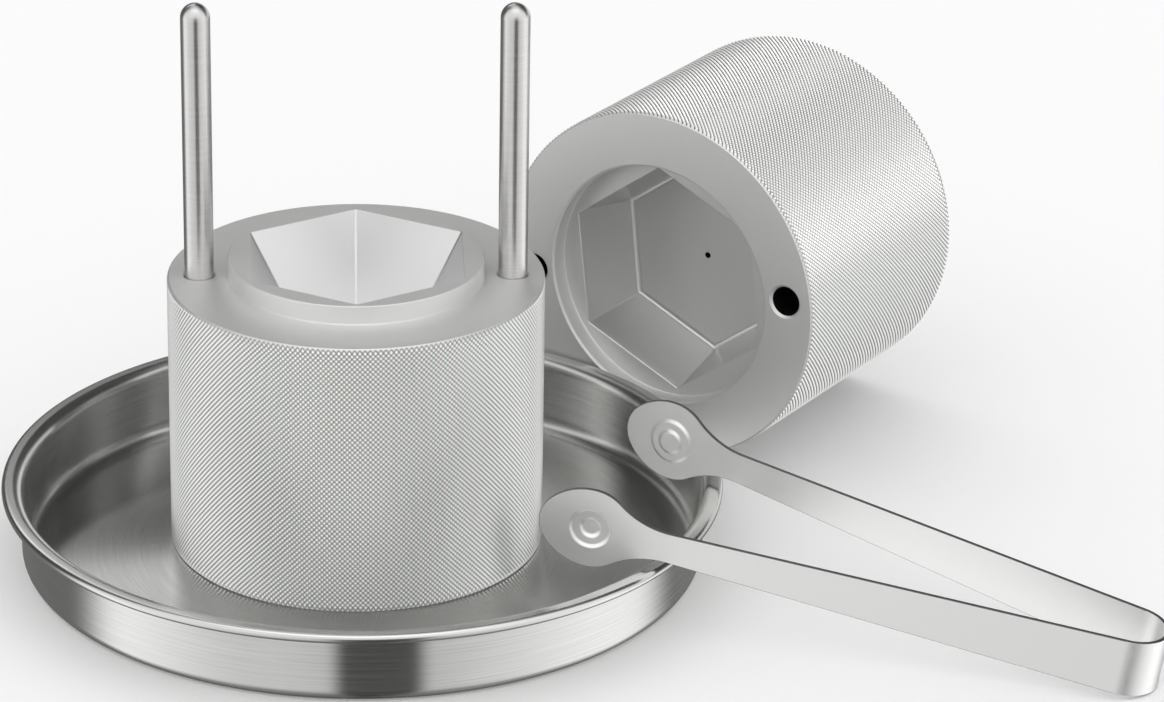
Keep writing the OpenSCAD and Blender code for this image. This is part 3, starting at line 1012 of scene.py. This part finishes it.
def soft_studio():
    """White surroundings, in which metal also finds a dark gap for the camera and a dark back of the room."""
    world = bpy.data.worlds.new("Soft studio")
    world.use_nodes = True
    world.cycles.sampling_method = "NONE"
    tree = world.node_tree
    way = add_node(tree, "ShaderNodeTexCoord").outputs["Generated"]
    known = {}
    for name, direction in (
        ("front", (-math.sin(YAW), -math.cos(YAW), 0.0)),
        ("side", (math.cos(YAW), -math.sin(YAW), 0.0)),
        ("up", (0.0, 0.0, 1.0)),
    ):
        share = add_node(tree, "ShaderNodeVectorMath", {0: way, 1: direction}, operation="DOT_PRODUCT")
        known[name] = share.outputs["Value"]
    for name, operation, *values in STUDIO:
        if operation == "FADE":
            angle, start, end, low, high = values
            inputs = {"Value": known[angle], "To Min": low, "To Max": high}
            inputs.update({"From Min": math.radians(start), "From Max": math.radians(end)})
            fade = add_node(tree, "ShaderNodeMapRange", inputs, interpolation_type="SMOOTHSTEP").outputs[0]
            if name not in known:
                known[name] = fade
                continue
            operation, values = "MULTIPLY", (name, fade)
        inputs = {i: known.get(value, value) for i, value in enumerate(values)}
        known[name] = add_node(tree, "ShaderNodeMath", inputs, operation=operation).outputs[0]
    room = add_node(
        tree,
        "ShaderNodeMix",
        {0: known["room"], MIX_FROM: STUDIO_DARK, MIX_TO: STUDIO_LIT},
        data_type="RGBA",
        clamp_factor=False,
    )
    glossy = add_node(tree, "ShaderNodeLightPath").outputs["Is Glossy Ray"]
    inputs = {0: glossy, MIX_FROM: (1.0, 1.0, 1.0, 1.0), MIX_TO: room.outputs[MIX_RESULT]}
    seen = add_node(tree, "ShaderNodeMix", inputs, data_type="RGBA")
    background = next(n for n in tree.nodes if n.type == "BACKGROUND")
    tree.links.new(seen.outputs[MIX_RESULT], background.inputs["Color"])
    return world


# Operators


class ICEPRESS_OT_moulds(bpy.types.Operator):
    """Build the lower and the upper mould with their knurl and gem cavities"""

    bl_idname = "ice_press.moulds"
    bl_label = "Moulds"

    def execute(self, context):
        groups = sizes(context)
        surfaces = ("aluminium", "knurled_aluminium", "milled_aluminium", "bore_painted_shade")
        materials = metals(groups["finishes"], *surfaces)
        bm = lower_mould(groups, materials[KNURL])
        lower = finish_piece("mould_lower", bm, materials, standing_in(*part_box("lower_mould")))
        right, upward = mount("right_guide_bore")
        left, _ = mount("left_guide_bore")
        face = (right + left) / 2 - upward * groups["moulds"].upper_height / 2
        bm = upper_mould(groups, materials[KNURL])
        upper = finish_piece("mould_upper", bm, materials, axes_matrix(face, right - left, upward))
        for piece, node in ((lower, "lower_mould"), (upper, "upper_mould")):
            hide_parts(node)
            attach(piece, node)
        return {"FINISHED"}


class ICEPRESS_OT_guide_rods(bpy.types.Operator):
    """Build the two guide rods in their sockets"""

    bl_idname = "ice_press.guide_rods"
    bl_label = "Guide rods"

    def execute(self, context):
        groups = sizes(context)
        steel = metals(groups["finishes"], "rod_steel")
        for side in ("left", "right"):
            bm = bmesh.new()
            lathe(bm, rod_profile(groups["rods"]), ROD_SIDES)
            rod = finish_piece("rod_" + side, bm, steel, standing_in(*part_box(side + "_guide_rod")))
            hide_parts(side + "_guide_rod")
            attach(rod, side + "_rod")
        return {"FINISHED"}


class ICEPRESS_OT_drip_tray(bpy.types.Operator):
    """Build the spun drip tray with its rolled lip"""

    bl_idname = "ice_press.drip_tray"
    bl_label = "Drip tray"

    def execute(self, context):
        groups = sizes(context)
        shape = groups["tray"]
        bm = bmesh.new()
        lathe(bm, tray_profile(shape), TURNED_SIDES)
        wall = shape.diameter / 2 - shape.lip_width
        lip_foot = shape.height - 2 * shape.lip_roll
        for face in bm.faces:
            middle = face.calc_center_median()
            if middle.xy.length > wall and middle.z > lip_foot:
                face.material_index = LIP
        steel = metals(groups["finishes"], "tray_steel", "lip_steel")
        tray = finish_piece("tray", bm, steel, standing_in(*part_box("drip_tray")))
        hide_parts("drip_tray")
        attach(tray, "tray")
        return {"FINISHED"}


class ICEPRESS_OT_tongs(bpy.types.Operator):
    """Build the tongs' bow and the two arms that flex with it"""

    bl_idname = "ice_press.tongs"
    bl_label = "Tongs"

    def execute(self, context):
        groups = sizes(context)
        tongs = groups["tongs"]
        steel = metals(groups["finishes"], "tongs_steel", "sheared_edge_and_shade")
        hinge = joint("far_arm_squeeze")
        up = Vector(hinge["axis"]).normalized()
        # The tongs rise along their heading, so their own up leans straight back from it
        heading = Vector((-up.x, -up.y, 0.0))
        lie = axes_matrix(Vector(hinge["pos_m"]), heading, up)
        bow = finish_piece("tongs_bend", tongs_bow(tongs), steel, lie)
        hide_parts("tongs_bow")
        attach(bow, "tongs_bow")
        for name, side in (("near", 1), ("far", -1)):
            turn = Matrix.Rotation(side * tongs.arm_spread, 4, "Z")
            mirror = Matrix.Diagonal((1, side, 1, 1))
            place = lie @ turn @ mirror
            arm = finish_piece("tongs_" + name, tongs_arm(tongs), steel, place)
            node = "tongs_" + name + "_arm"
            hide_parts(node)
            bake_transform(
                arm,
                "tongs_bow",
                node,
                start=place @ Vector((0, tongs.bow_radius, 0)),
                end=place @ Vector((tongs.flex_length, tongs.bow_radius, 0)),
            )
        return {"FINISHED"}


class ICEPRESS_OT_stage(bpy.types.Operator):
    """Build the table, the soft light and the camera"""

    bl_idname = "ice_press.stage"
    bl_label = "Stage"

    def execute(self, context):
        scene = context.scene
        scene.view_settings.view_transform = "Standard"
        finishes = sizes(context)["finishes"]
        mesh = bpy.data.meshes.new("table")
        span, drop = 6.0, -0.1 * MM
        corners = [(-span, -span, drop), (span, -span, drop), (span, span, drop), (-span, span, drop)]
        mesh.from_pydata(corners, [], [(0, 1, 2, 3)])
        table = bpy.data.objects.new("table", mesh)
        mesh.materials.append(white_table(finishes))
        scene.collection.objects.link(table)
        table.visible_glossy = False
        scene.world = soft_studio()
        camera = bpy.data.cameras.new("camera")
        camera.sensor_width = SENSOR
        camera.lens = LENS
        camera.clip_end = 20.0
        view = bpy.data.objects.new("camera", camera)
        scene.collection.objects.link(view)
        flat = math.cos(PITCH)
        forward = Vector((math.sin(YAW) * flat, math.cos(YAW) * flat, -math.sin(PITCH)))
        level = Vector((math.cos(YAW), -math.sin(YAW), 0.0))
        above = level.cross(forward)
        right = level * math.cos(ROLL) + above * math.sin(ROLL)
        view.matrix_world = axes_matrix(CAMERA_PLACE, right, -forward)
        scene.camera = view
        return {"FINISHED"}


class ICEPRESS_PT_panel(bpy.types.Panel):
    """Sizes, colours and build steps of the ice press"""

    bl_idname = "ICEPRESS_PT_panel"
    bl_label = "Ice press"
    bl_space_type = "VIEW_3D"
    bl_region_type = "UI"
    bl_category = "Ice press"

    def draw(self, context):
        for name, group in sizes(context).items():
            box = self.layout.box()
            box.label(text=name.replace("_", " ").capitalize())
            for key in group.__annotations__:
                box.prop(group, key)
        for operator in OPERATORS:
            self.layout.operator(operator.bl_idname)


GROUPS = {
    "moulds": IcePressMouldSizes,
    "knurl": IcePressKnurlSizes,
    "rods": IcePressRodSizes,
    "tray": IcePressTraySizes,
    "tongs": IcePressTongsSizes,
    "finishes": IcePressFinishes,
}
OPERATORS = (
    ICEPRESS_OT_stage,
    ICEPRESS_OT_drip_tray,
    ICEPRESS_OT_moulds,
    ICEPRESS_OT_guide_rods,
    ICEPRESS_OT_tongs,
)


def register():
    """Registers the property groups, operators and panel."""
    for cls in (*GROUPS.values(), *OPERATORS, ICEPRESS_PT_panel):
        bpy.utils.register_class(cls)
    for name, group in GROUPS.items():
        setattr(bpy.types.Scene, "ice_press_" + name, PointerProperty(type=group))


def unregister():
    """Takes everything out again."""
    for name in GROUPS:
        delattr(bpy.types.Scene, "ice_press_" + name)
    for cls in (ICEPRESS_PT_panel, *reversed(OPERATORS), *reversed(GROUPS.values())):
        bpy.utils.unregister_class(cls)


def main():
    register()
    for operator in OPERATORS:
        getattr(bpy.ops.ice_press, operator.bl_idname.split(".")[1])()


if __name__ == "__main__":
    main()
